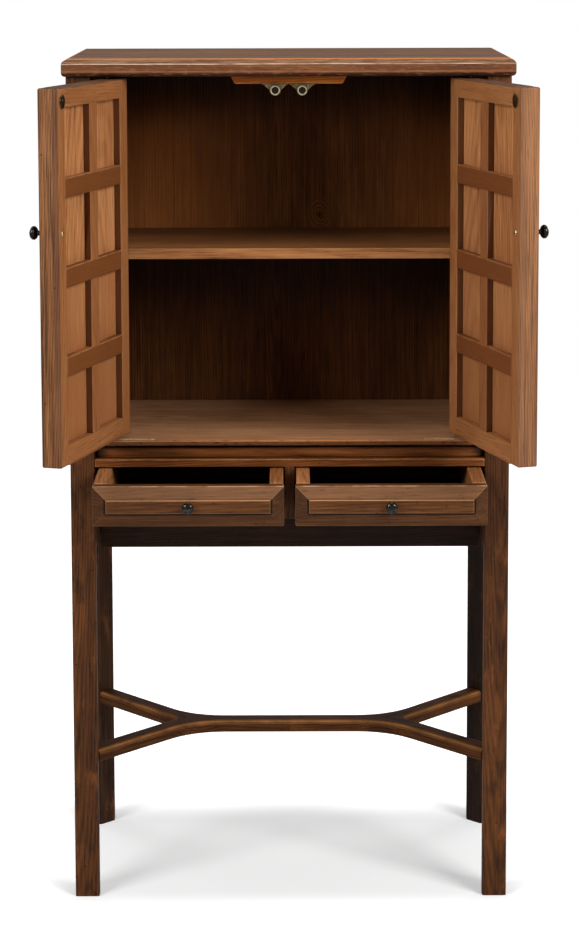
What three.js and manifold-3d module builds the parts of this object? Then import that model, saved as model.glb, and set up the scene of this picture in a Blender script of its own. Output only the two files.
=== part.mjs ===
// Bar cabinet on tall legs: two framed doors, one inner shelf, a pull-out serving shelf and two drawers.
// Millimetres, +Z up. The front is at -Y. The doors stand open and the drawers part way out.
import * as THREE from 'three';
import { mergeVertices } from 'three/addons/utils/BufferGeometryUtils.js';
import Module from 'manifold-3d';

const wasm = await Module();
wasm.setup();

// Driving dimensions of the carcass
const overall_width = 830; // across the four posts
const overall_depth = 465; // front to back of the posts
const overall_height = 1613; // floor to the flat of the top
const post_size = 46; // square section
const post_corner_radius = 4;
const leg_chamfer = 25; // inner corner of each leg, where a stretcher arm lands
const glue_gap = 0.3; // between a piece and what it seats on

// The top board and its thumbnail moulding
const top_thickness = 33.5;
const top_side_overhang = 7;
const top_front_overhang = 15;
const top_back_overhang = 2;
const moulding_width = 10; // how far the flat of the top stands in from the nose
const moulding_drop = 10; // from the flat down to the nose
const moulding_step = 2.5; // the little fillet beside the flat
const lower_round = 7; // the rounded lower edge

// Cabinet floor and inner shelf
const floor_top = 893;
const floor_thickness = 11;
const floor_setback = 2; // behind the front of the posts
const lower_compartment_height = 336; // from the floor to the shelf
const inner_shelf_thickness = 20;
const inner_shelf_setback = 73;
const housing_depth = 6; // of the grooves in the sides that hold floor and shelf

// Sides and back
const side_thickness = 22;
const back_thickness = 12;
const back_setback = 8; // in from the back of the posts
const back_seam_shares = [0.18, 0.365, 0.52, 0.71, 0.86]; // of the width, where its planks meet
const back_seam_width = 2;
const back_seam_depth = 1.2;

// The pull-out shelf under the cabinet floor
const slide_thickness = 19.5;
const slide_gap_above = 6;
const slide_clearance = 0.3; // of a sliding piece on what it runs on
const slide_side_gap = 2.6;
const slide_setback = 16;
const slide_back_gap = 24; // behind it when it is stowed

// Drawer rail, dust board, divider and deck
const rail_height = 15;
const rail_depth = 22;
const face_setback = 2; // rail, divider and drawer fronts behind the front of the posts
const divider_width = 18;
const drawer_opening_height = 81.5;
const deck_thickness = 18;
const guide_height = 15;

// Aprons below the deck
const front_apron_height = 83;
const side_apron_height = 60; // how far a side panel reaches below the deck
const apron_thickness = 18;
const front_apron_setback = 124;
const rear_apron_setback = 14; // in from the back of the posts

// Drawers
const drawer_outer_gap = 5.5; // from a front to the post
const drawer_inner_gap = 1.2; // from a front to the divider
const drawer_front_top_gap = 4.9;
const drawer_front_bottom_gap = 1.5;
const drawer_front_thickness = 30;
const drawer_field_inset = 25.5; // the bevelled border round the raised field
const drawer_bevel_drop = 8;
const drawer_field_step = 2.5;
const drawer_corner_radius = 4; // of the front's outer corners
const drawer_box_inset = 2; // the box stands in from the ends of the front
const drawer_side_thickness = 25;
const drawer_side_top_gap = 3;
const drawer_back_gap = 43; // behind a shut drawer
const drawer_back_thickness = 12;
const drawer_back_drop = 8; // the back is lower than the sides
const drawer_bottom_thickness = 6;
const drawer_bottom_lift = 6;
const drawer_groove_depth = 6; // for the bottom, in the sides and the front
const drawer_pull = 163; // how far both drawers stand out

// Doors
const door_open_angle = 106; // degrees, how far both doors stand open
const door_setback = 1;
const door_side_gap = 4;
const door_meeting_gap = 1.5; // from the centre line
const door_top_gap = 4.5;
const door_bottom_gap = 10;
const door_thickness = 37;
const stile_width = 38;
const door_rail_height = 35;
const muntin_width = 36;
const panel_rows = 4;
const panel_recess = 13; // inner face of the panels below the frame
const panel_edge_recess = 11; // outer face, at the foot of the bevel
const panel_field_recess = 6; // outer face, on the raised field
const panel_bevel_width = 20;
const groove_width = 10;
const groove_depth = 9;
const tongue_length = 8;

// Pivot hinges, let into the floor, the top board and the door ends
const pivot_from_hinge_side = 27;
const pivot_from_face = 8;
const pivot_plate_length = 92;
const pivot_plate_width = 14;
const pivot_plate_front = 4.5; // of the plate before the pin's axis
const pivot_plate_thickness = 2.6;
const pivot_plate_start = 9; // how far the plate reaches past the pin
const pivot_pin_diameter = 7;
const pivot_pin_reach = 10; // into the door
const pivot_collar_diameter = 9;
const pin_clearance = 0.4; // round the pin

// Catches, strikes and knobs
const catch_block_width = 220;
const catch_block_taper = 6;
const catch_block_height = 16.3;
const catch_block_corner = 5; // its lower corners, rounded off
const catch_block_depth = 24;
const catch_spacing = 25.4; // each catch from the centre line
const catch_plate_width = 47;
const catch_flange_depth = 19; // of the plate's bent top, which is screwed up under the block
const catch_plate_thickness = 2;
const catch_plate_foot_radius = 10.6;
const cup_diameter = 20;
const cup_bore_diameter = 12;
const cup_length = 9;
const cup_bore_depth = 2.5;
const cup_drop = 12; // of its axis below the block
const strike_diameter = 26;
const strike_thickness = 1.6;
const strike_stud_diameter = 8;
const strike_stud_height = 2.2;
const strike_gap = 0.6; // to the cup when the door is shut
const knob_rise_share = 0.62; // of a door's height
const knob_from_edge = 19;
const knob_diameter = 25;
const knob_length = 24;
const drawer_knob_diameter = 22;
const drawer_knob_length = 17;
const knob_foot_radius_share = 0.62; // of the ball's radius
const knob_neck_radius_share = 0.36;
const knob_foot_share = 0.1; // of the knob's length
const knob_neck_start_share = 0.25;
const knob_neck_end_share = 0.34;
const knob_ball_share = 0.31; // half the ball's height
const knob_bolt_diameter = 5;
const bolt_head_diameter = 9;
const bolt_head_height = 1.6;
const bore_clearance = 0.3;

// Stretcher
const stretcher_bottom = 261;
const stretcher_height = 24;
const stretcher_bar_width = 44;
const stretcher_arm_width = 40;
const stretcher_fork_reach = 200; // from the centre to where two arms' centre lines cross
const stretcher_sweep_radius = 140; // where an arm flows into the bar
const stretcher_top_round = 8; // of the upper arrises
const stretcher_bottom_round = 2.5;
const stretcher_overlength = 30; // of an arm, before its end is cut to the leg
const crotch_radius = 13;
const scarf_gap = 0.05; // in the glued joints of bar and arms

// Worked out from the driving dimensions
const half_width = overall_width / 2;
const inner_half = half_width - post_size; // inner faces of the posts and sides
const fitted_half = inner_half - glue_gap;
const top_underside = overall_height - top_thickness;
const case_top = top_underside - glue_gap; // where posts, sides and back end
const back_face = overall_depth - back_setback - back_thickness; // front of the back panel
const fitted_back = back_face - glue_gap;
const floor_bottom = floor_top - floor_thickness;
const inner_shelf_bottom = floor_top + lower_compartment_height;
const inner_shelf_top = inner_shelf_bottom + inner_shelf_thickness;
const slide_top = floor_bottom - slide_gap_above;
const slide_bottom = slide_top - slide_thickness;
const rail_top = slide_bottom - slide_clearance;
const rail_bottom = rail_top - rail_height;
const rail_back = face_setback + rail_depth;
const deck_top = rail_bottom - drawer_opening_height;
const deck_bottom = deck_top - deck_thickness;
const side_foot = deck_bottom - side_apron_height;
const stretcher_top = stretcher_bottom + stretcher_height;
const mid_depth = overall_depth / 2;

const finish = (color, roughness, metalness = 0) =>
  new THREE.MeshStandardMaterial({ color, roughness, metalness });
const walnut = finish(0x6a452a, 0.55);
const walnut_dark = finish(0x553622, 0.6);
const honey = finish(0x9a6538, 0.55);
const back_wood = finish(0x6b4526, 0.65);
const brass = finish(0xb08d4c, 0.35, 1);
const dark_metal = finish(0x2b2622, 0.35, 1);

// Geometry helpers
const ARC_STEPS = 6;
const ROUND_STEPS = 3; // of a rounded arris
const ROUND_SIDES = 24;
const MERGE_DISTANCE = 1e-5;
const overrun = 1; // by which a cutting tool passes a face

function toSolid(geometry) {
  const bare = geometry.clone();
  for (const key of Object.keys(bare.attributes)) {
    if (key !== 'position') bare.deleteAttribute(key);
  }
  const merged = mergeVertices(bare, MERGE_DISTANCE);
  const vertProperties = new Float32Array(merged.attributes.position.array);
  const triVerts = new Uint32Array(merged.index.array);
  return new wasm.Manifold(new wasm.Mesh({ numProp: 3, vertProperties, triVerts }));
}

function toGeometry(solid) {
  const mesh = solid.getMesh();
  const geometry = new THREE.BufferGeometry();
  geometry.setAttribute('position', new THREE.BufferAttribute(new Float32Array(mesh.vertProperties), 3));
  geometry.setIndex(new THREE.BufferAttribute(new Uint32Array(mesh.triVerts), 1));
  return geometry;
}

function cut(geometry, tools) {
  let solid = toSolid(geometry);
  for (const tool of tools) solid = solid.subtract(toSolid(tool));
  return toGeometry(solid);
}

// What lies on the side that each plane's normal points to; a plane is [normal, distance from the origin]
function trim(geometry, planes) {
  let solid = toSolid(geometry);
  for (const [normal, distance] of planes) solid = solid.trimByPlane(normal, distance);
  return toGeometry(solid);
}

function join(geometries) {
  let solid = toSolid(geometries[0]);
  for (const other of geometries.slice(1)) solid = solid.add(toSolid(other));
  return toGeometry(solid);
}

// A rectangular block between two opposite corners
function block(xa, xb, ya, yb, za, zb) {
  const size = [Math.abs(xb - xa), Math.abs(yb - ya), Math.abs(zb - za)];
  const geometry = new THREE.BoxGeometry(...size);
  return geometry.translate((xa + xb) / 2, (ya + yb) / 2, (za + zb) / 2);
}

// A block centred on x = 0
function centredBlock(half, ya, yb, za, zb) {
  return block(-half, half, ya, yb, za, zb);
}

// A closed shell through a list of rectangles, each [xa, xb, za, zb, y], facing -Y first
function facedBoard(rings) {
  const points = [];
  for (const [xa, xb, za, zb, y] of rings) points.push(xa, y, za, xb, y, za, xb, y, zb, xa, y, zb);
  const index = [0, 1, 2, 0, 2, 3];
  for (let ring = 0; ring + 1 < rings.length; ring += 1) {
    for (let corner = 0; corner < 4; corner += 1) {
      const a = ring * 4 + corner;
      const b = ring * 4 + ((corner + 1) % 4);
      index.push(a, a + 4, b, b, a + 4, b + 4);
    }
  }
  const last = (rings.length - 1) * 4;
  index.push(last, last + 2, last + 1, last, last + 3, last + 2);
  const geometry = new THREE.BufferGeometry();
  geometry.setAttribute('position', new THREE.Float32BufferAttribute(points, 3));
  geometry.setIndex(index);
  return geometry;
}

function outline(points) {
  return new THREE.Shape(points.map(([x, y]) => new THREE.Vector2(x, y)));
}

// A prism from z = za up to zb, from an outline drawn in x and y
function upright(shape, za, zb) {
  const options = { depth: zb - za, bevelEnabled: false, curveSegments: ARC_STEPS };
  return new THREE.ExtrudeGeometry(shape, options).translate(0, 0, za);
}

// A turned piece on the Z axis from [radius, height] pairs
function turned(profile) {
  const points = profile.map(([radius, height]) => new THREE.Vector2(radius, height));
  return new THREE.LatheGeometry(points, ROUND_SIDES).rotateX(Math.PI / 2);
}

function rod(radius, za, zb) {
  return turned([[0, za], [radius, za], [radius, zb], [0, zb]]);
}

// Turns a piece made on the Z axis so that its top points to -Y, or to +Y
function facingFront(geometry) {
  return geometry.rotateX(Math.PI / 2);
}

function facingBack(geometry) {
  return geometry.rotateX(-Math.PI / 2);
}

const cabinet = new THREE.Group();

function add(parent, name, geometry, material) {
  const mesh = new THREE.Mesh(geometry, material);
  mesh.name = name;
  parent.add(mesh);
  return mesh;
}

const SIDES = [['left', -1], ['right', 1]];

// Top board with its moulded edge, and the housings of the upper pivot plates
const pivot_x = inner_half - door_side_gap - pivot_from_hinge_side;
const pivot_y = door_setback + pivot_from_face;

function pivotPlate(side, grow, za, zb) {
  const outer = side * (pivot_x + pivot_plate_start + grow);
  const inner = side * (pivot_x + pivot_plate_start - pivot_plate_length - grow);
  const front = pivot_y - pivot_plate_front;
  return block(outer, inner, front - grow, front + pivot_plate_width + grow, za, zb);
}

{
  const nose_top = top_thickness - moulding_drop;
  const curve_height = moulding_drop - moulding_step;
  const profile = [[lower_round, 0]];
  for (let step = 1; step <= ARC_STEPS / 2; step += 1) {
    const angle = (step / ARC_STEPS) * Math.PI;
    profile.push([lower_round * (1 - Math.sin(angle)), lower_round * (1 - Math.cos(angle))]);
  }
  for (let step = 0; step <= ARC_STEPS / 2; step += 1) {
    const angle = (step / ARC_STEPS) * Math.PI;
    profile.push([moulding_width * (1 - Math.cos(angle)), nose_top + curve_height * Math.sin(angle)]);
  }
  profile.push([moulding_width, top_thickness]);
  const half = half_width + top_side_overhang;
  const front = -top_front_overhang;
  const back = overall_depth + top_back_overhang;
  // A faced board stacks along y, so the board is made standing on its back edge and laid flat
  const rings = profile.map(([inset, height]) =>
    [-half + inset, half - inset, -back, -front - inset, top_underside + height]);
  const board = facedBoard(rings).rotateX(Math.PI / 2);
  const housings = SIDES.map(([, side]) =>
    pivotPlate(side, glue_gap, top_underside - overrun, top_underside + pivot_plate_thickness + glue_gap));
  add(cabinet, 'top_board', cut(board, housings), walnut);
}

// Four posts, square to the top, with the inner corner of each leg chamfered
for (const [row, depth_sign] of [['front', -1], ['rear', 1]]) {
  for (const [side_name, side] of SIDES) {
    const half = post_size / 2;
    const r = post_corner_radius;
    const section = new THREE.Shape();
    section.moveTo(-half + r, -half);
    section.lineTo(half - r, -half);
    section.absarc(half - r, -half + r, r, -Math.PI / 2, 0, false);
    section.lineTo(half, half - r);
    section.absarc(half - r, half - r, r, 0, Math.PI / 2, false);
    section.lineTo(-half + r, half);
    section.absarc(-half + r, half - r, r, Math.PI / 2, Math.PI, false);
    section.lineTo(-half, -half + r);
    section.absarc(-half + r, -half + r, r, Math.PI, Math.PI * 1.5, false);
    const centre_x = side * (half_width - half);
    const centre_y = depth_sign < 0 ? half : overall_depth - half;
    const post = upright(section, 0, case_top).translate(centre_x, centre_y, 0);
    const corner_x = side * inner_half;
    const corner_y = centre_y - depth_sign * half;
    const wedge = outline([
      [corner_x + side * leg_chamfer, corner_y],
      [corner_x + side * leg_chamfer, corner_y - depth_sign * overrun],
      [corner_x - side * overrun, corner_y - depth_sign * overrun],
      [corner_x - side * overrun, corner_y + depth_sign * leg_chamfer],
      [corner_x, corner_y + depth_sign * leg_chamfer],
    ]);
    const tool = upright(wedge, -overrun, side_foot);
    add(cabinet, `${row}_${side_name}_post`, cut(post, [tool]), walnut);
  }
}

// Drawer sizes that the fixed pieces round the drawers follow
const opening_start = divider_width / 2;
const front_ends = [opening_start + drawer_inner_gap, inner_half - drawer_outer_gap];
const drawer_centre = (front_ends[0] + front_ends[1]) / 2;
const front_half = (front_ends[1] - front_ends[0]) / 2;
const box_half = front_half - drawer_box_inset;
const guide_play = drawer_box_inset / 2;
const guide_z = [deck_top + glue_gap, deck_top + guide_height];

// Sides between the posts, housed for the floor and the shelf, each with the outer guide of a drawer on it
const between_posts = [post_size + glue_gap, overall_depth - post_size - glue_gap];

for (const [side_name, side] of SIDES) {
  const outer = side * (inner_half + side_thickness);
  const panel = block(side * inner_half, outer, ...between_posts, side_foot, case_top);
  const guide_face = side * (drawer_centre + box_half + guide_play);
  const guide = block(guide_face, side * (inner_half + overrun), ...between_posts, ...guide_z);
  const housing = (front, za, zb) =>
    block(side * (inner_half - overrun), side * (inner_half + housing_depth), front, back_face,
      za - glue_gap, zb + glue_gap);
  const tools = [
    housing(0, floor_bottom, floor_top),
    housing(inner_shelf_setback - glue_gap, inner_shelf_bottom, inner_shelf_top),
  ];
  add(cabinet, `side_panel_${side_name}`, cut(join([panel, guide]), tools), walnut);
}

// The back, with a V at each plank's edge
{
  const back_z = [deck_bottom, case_top];
  const panel = centredBlock(fitted_half, back_face, back_face + back_thickness, ...back_z);
  const half = back_seam_width / 2;
  const seams = back_seam_shares.map((share) => {
    const x = fitted_half * (share + share - 1);
    const tip = [x, back_face + back_seam_depth];
    const vee = [[x - half, back_face], tip, [x + half, back_face], [x, back_face - overrun]];
    return upright(outline(vee), back_z[0] - overrun, back_z[1] + overrun);
  });
  add(cabinet, 'back_panel', cut(panel, seams), back_wood);
}

// A board that fills the case from side to side, its ends in the housings of the sides
function housedBoard(front, za, zb) {
  const housed_half = inner_half + housing_depth - glue_gap;
  const from = Math.max(front, between_posts[0]);
  return join([
    centredBlock(fitted_half, front, fitted_back, za, zb),
    centredBlock(housed_half, from, between_posts[1], za, zb),
  ]);
}

{
  const board = housedBoard(floor_setback, floor_bottom, floor_top);
  const housings = SIDES.map(([, side]) =>
    pivotPlate(side, glue_gap, floor_top - pivot_plate_thickness - glue_gap, floor_top + overrun));
  add(cabinet, 'cabinet_floor', cut(board, housings), honey);
}

add(cabinet, 'inner_shelf', housedBoard(inner_shelf_setback, inner_shelf_bottom, inner_shelf_top), honey);

// Drawer rail and dust board, which carry the pull-out shelf, the divider, the middle guide and the deck
{
  const rail = centredBlock(fitted_half, face_setback, rail_back, rail_bottom, rail_top);
  add(cabinet, 'drawer_rail', rail, walnut);
  const dust_y = [rail_back + glue_gap, fitted_back];
  add(cabinet, 'dust_board', centredBlock(fitted_half, ...dust_y, rail_bottom, rail_top), walnut_dark);

  const divider_z = [deck_bottom, rail_bottom - glue_gap];
  add(cabinet, 'drawer_divider', centredBlock(opening_start, face_setback, rail_back, ...divider_z), walnut);
  const guide_half = drawer_centre - box_half - guide_play;
  const guide_y = [face_setback + drawer_front_thickness + glue_gap, fitted_back];
  add(cabinet, 'drawer_guide', centredBlock(guide_half, ...guide_y, ...guide_z), walnut_dark);

  const deck = centredBlock(fitted_half, face_setback, fitted_back, deck_bottom, deck_top);
  const notch_y = [face_setback - overrun, rail_back + glue_gap];
  const notch = centredBlock(opening_start + glue_gap, ...notch_y, deck_bottom - overrun, deck_top + overrun);
  add(cabinet, 'drawer_deck', cut(deck, [notch]), walnut);
}

// Aprons below the deck
{
  const apron_z = [deck_bottom - front_apron_height, deck_bottom - glue_gap];
  const front_y = [front_apron_setback, front_apron_setback + apron_thickness];
  add(cabinet, 'front_apron', centredBlock(fitted_half, ...front_y, ...apron_z), walnut_dark);
  const rear_end = overall_depth - rear_apron_setback;
  const rear = centredBlock(fitted_half, rear_end - apron_thickness, rear_end, ...apron_z);
  add(cabinet, 'rear_apron', rear, walnut_dark);
}

// Stretcher: a bar from side to side that forks into two arms at each end. The whole is drawn once, with its
// arrises rounded, and then cut into the bar and the four arms.
{
  const land = leg_chamfer / 2; // from the leg's corner to the middle of the chamfer, along x and y
  const land_x = inner_half + land;
  const land_y = post_size - land;
  const lean = Math.atan2(mid_depth - land_y, land_x - stretcher_fork_reach); // of an arm, off the bar's line
  const arm_half = stretcher_arm_width / 2;
  const bar_half = stretcher_bar_width / 2;
  const half_across = arm_half / Math.sin(lean); // half an arm's width, measured along the bar
  const edge_x = stretcher_fork_reach - half_across + bar_half / Math.tan(lean);
  const bar_end = edge_x - stretcher_sweep_radius * Math.tan(lean / 2);
  const crotch_x = stretcher_fork_reach + half_across + crotch_radius / Math.sin(lean);

  // Outline of the front right quarter, from the bar round the arm to the crotch
  const quarter = [];
  const sweep_y = mid_depth - bar_half - stretcher_sweep_radius;
  for (let step = 0; step <= ARC_STEPS; step += 1) {
    const turn = Math.PI / 2 - lean * (step / ARC_STEPS);
    const x = bar_end + stretcher_sweep_radius * Math.cos(turn);
    quarter.push([x, sweep_y + stretcher_sweep_radius * Math.sin(turn)]);
  }
  const run = Math.hypot(land_x - stretcher_fork_reach, mid_depth - land_y) + stretcher_overlength;
  const end_x = stretcher_fork_reach + run * Math.cos(lean);
  const end_y = mid_depth - run * Math.sin(lean);
  const across = [arm_half * Math.sin(lean), arm_half * Math.cos(lean)];
  quarter.push([end_x - across[0], end_y - across[1]], [end_x + across[0], end_y + across[1]]);
  for (let step = ARC_STEPS; step >= 0; step -= 1) {
    const turn = Math.PI + (Math.PI / 2 - lean) * (step / ARC_STEPS);
    quarter.push([crotch_x + crotch_radius * Math.cos(turn), mid_depth + crotch_radius * Math.sin(turn)]);
  }

  const tip = quarter.length - 1; // lies on the centre line, so a mirrored quarter leaves it out
  const rear = quarter.slice(0, tip).reverse().map(([x, y]) => [x, mid_depth + mid_depth - y]);
  const right = [...quarter, ...rear];
  const left = right.map(([x, y]) => [-x, y]).reverse();
  const whole = outline([...right, ...left]);

  // The drawn outline with rounded arrises from z = za up to zb
  const rounded = (radius, za, zb) => {
    const options = {
      depth: zb - za - radius - radius, bevelThickness: radius, bevelSize: radius, bevelOffset: -radius,
      bevelSegments: ROUND_STEPS,
    };
    return new THREE.ExtrudeGeometry(whole, options).translate(0, 0, za + radius);
  };
  const low = stretcher_bottom;
  const upper = rounded(stretcher_top_round, low - stretcher_height, stretcher_top);
  const lower = rounded(stretcher_bottom_round, low, stretcher_top + stretcher_height);
  const stretcher = toGeometry(toSolid(upper).intersect(toSolid(lower)));

  add(cabinet, 'stretcher_bar', trim(stretcher, [[[1, 0, 0], -bar_end], [[-1, 0, 0], -bar_end]]), walnut);
  for (const [row, depth_sign] of [['front', -1], ['rear', 1]]) {
    for (const [side_name, side] of SIDES) {
      const inward = [-side * Math.SQRT1_2, -depth_sign * Math.SQRT1_2, 0];
      const landing = [side * land_x, mid_depth + depth_sign * (mid_depth - land_y)];
      const arm = trim(stretcher, [
        [[side, 0, 0], bar_end + scarf_gap],
        [[0, depth_sign, 0], depth_sign * mid_depth + scarf_gap],
        [inward, inward[0] * landing[0] + inward[1] * landing[1] + glue_gap],
      ]);
      add(cabinet, `stretcher_arm_${row}_${side_name}`, arm, walnut);
    }
  }
}

// Catch block under the top, with a plate and a magnet cup for each door
const strike_reach = door_setback + door_thickness + strike_stud_height;
const block_face = strike_reach + strike_gap + cup_length;
const block_bottom = case_top - catch_block_height;
const cup_height = block_bottom - cup_drop;
{
  const half = catch_block_width / 2;
  // The right half of the block's face from the corner up, mirrored for the left
  const foot_x = half - catch_block_taper;
  const cut_off = catch_block_corner * (1 - Math.SQRT1_2);
  const right = [
    [foot_x - catch_block_corner, block_bottom], [foot_x - cut_off, block_bottom + cut_off],
    [foot_x, block_bottom + catch_block_corner], [half, case_top],
  ];
  const left = right.map(([x, z]) => [-x, z]).reverse();
  const front = outline([...right, ...left]);
  const wood = facingFront(upright(front, 0, catch_block_depth));
  add(cabinet, 'catch_block', wood.translate(0, block_face + glue_gap + catch_block_depth, 0), honey);

  for (const [side_name, side] of SIDES) {
    const top = block_bottom - glue_gap;
    const foot = catch_plate_foot_radius;
    const shape = new THREE.Shape();
    shape.moveTo(catch_plate_width / 2, top);
    shape.lineTo(-catch_plate_width / 2, top);
    shape.lineTo(-foot, cup_height);
    shape.absarc(0, cup_height, foot, Math.PI, Math.PI * 2, false);
    const plate_back = block_face + catch_plate_thickness;
    const plate = facingFront(upright(shape, 0, catch_plate_thickness)).translate(0, plate_back, 0);
    const flange_y = [block_face, block_face + catch_flange_depth];
    const flange = centredBlock(catch_plate_width / 2, ...flange_y, top - catch_plate_thickness, top);
    const r = cup_diameter / 2;
    const bore = cup_bore_diameter / 2;
    const bore_floor = cup_length - cup_bore_depth;
    const cup = facingFront(turned([
      [0, -overrun], [r, -overrun], [r, cup_length], [bore, cup_length], [bore, bore_floor], [0, bore_floor],
    ]));
    cup.translate(0, block_face, cup_height);
    const held = join([plate, flange, cup]).translate(side * catch_spacing, 0, 0);
    add(cabinet, `magnet_catch_${side_name}`, held, brass);
  }
}

// Pivot plates with their pins, in the floor and in the top board
const door_bottom = floor_top + door_bottom_gap;
const door_top = top_underside - door_top_gap;
for (const [side_name, side] of SIDES) {
  const r = pivot_pin_diameter / 2;
  const collar = pivot_collar_diameter / 2;
  const plate_foot = floor_top - pivot_plate_thickness;
  const low_plate = pivotPlate(side, 0, plate_foot, floor_top);
  const low_pin = turned([
    [0, plate_foot], [collar, plate_foot], [collar, door_bottom - glue_gap], [r, door_bottom - glue_gap],
    [r, door_bottom + pivot_pin_reach], [0, door_bottom + pivot_pin_reach],
  ]).translate(side * pivot_x, pivot_y, 0);
  add(cabinet, `lower_pivot_${side_name}`, join([low_plate, low_pin]), brass);
  const plate_head = top_underside + pivot_plate_thickness;
  const high_plate = pivotPlate(side, 0, top_underside, plate_head);
  const high_pin = turned([
    [0, door_top - pivot_pin_reach], [r, door_top - pivot_pin_reach], [r, door_top + glue_gap],
    [collar, door_top + glue_gap], [collar, plate_head], [0, plate_head],
  ]).translate(side * pivot_x, pivot_y, 0);
  add(cabinet, `upper_pivot_${side_name}`, join([high_plate, high_pin]), brass);
}

// A turned knob on the Z axis, foot at z = 0, whose bolt goes down through wood of a given thickness
function knob(diameter, length, wood) {
  const r = diameter / 2;
  const foot = r * knob_foot_radius_share;
  const neck = r * knob_neck_radius_share;
  const bolt = knob_bolt_diameter / 2;
  const head = bolt_head_diameter / 2;
  const head_top = -wood - glue_gap;
  const profile = [
    [0, head_top - bolt_head_height], [head / 2, head_top - bolt_head_height],
    [head, head_top - bolt_head_height / 2], [head, head_top], [bolt, head_top], [bolt, glue_gap],
    [foot, glue_gap], [foot, length * knob_foot_share],
    [neck, length * knob_neck_start_share], [neck, length * knob_neck_end_share],
  ];
  const ball_half = length * knob_ball_share;
  for (let step = 0; step <= ARC_STEPS; step += 1) {
    const angle = -Math.PI / 3 + (step / ARC_STEPS) * (Math.PI * 5 / 6);
    const radius = step === ARC_STEPS ? 0 : r * Math.cos(angle);
    profile.push([radius, length - ball_half + ball_half * Math.sin(angle)]);
  }
  return turned(profile);
}

// Doors. Each is drawn shut about its pivot, then turned open.
// u runs from the hinge side to the free edge, y from the outer face inwards, both from the pivot.
const door_width = inner_half - door_side_gap - door_meeting_gap;
const door_face = -pivot_from_face;
const door_inner = door_face + door_thickness;
const board_front = door_face + panel_edge_recess;
const board_back = door_inner - panel_recess;
const groove_y = door_face + (door_thickness - groove_width) / 2;
const groove_end = groove_y + groove_width;
const tongue_y = [groove_y + glue_gap, groove_end - glue_gap];
const light_low = door_bottom + door_rail_height;
const light_high = door_top - door_rail_height;
const panel_height = (light_high - light_low - (panel_rows - 1) * door_rail_height) / panel_rows;
const far_stile = door_width - stile_width;
const panel_width = (far_stile - stile_width - muntin_width) / 2;
const knob_height = door_bottom + (door_top - door_bottom) * knob_rise_share;

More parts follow.
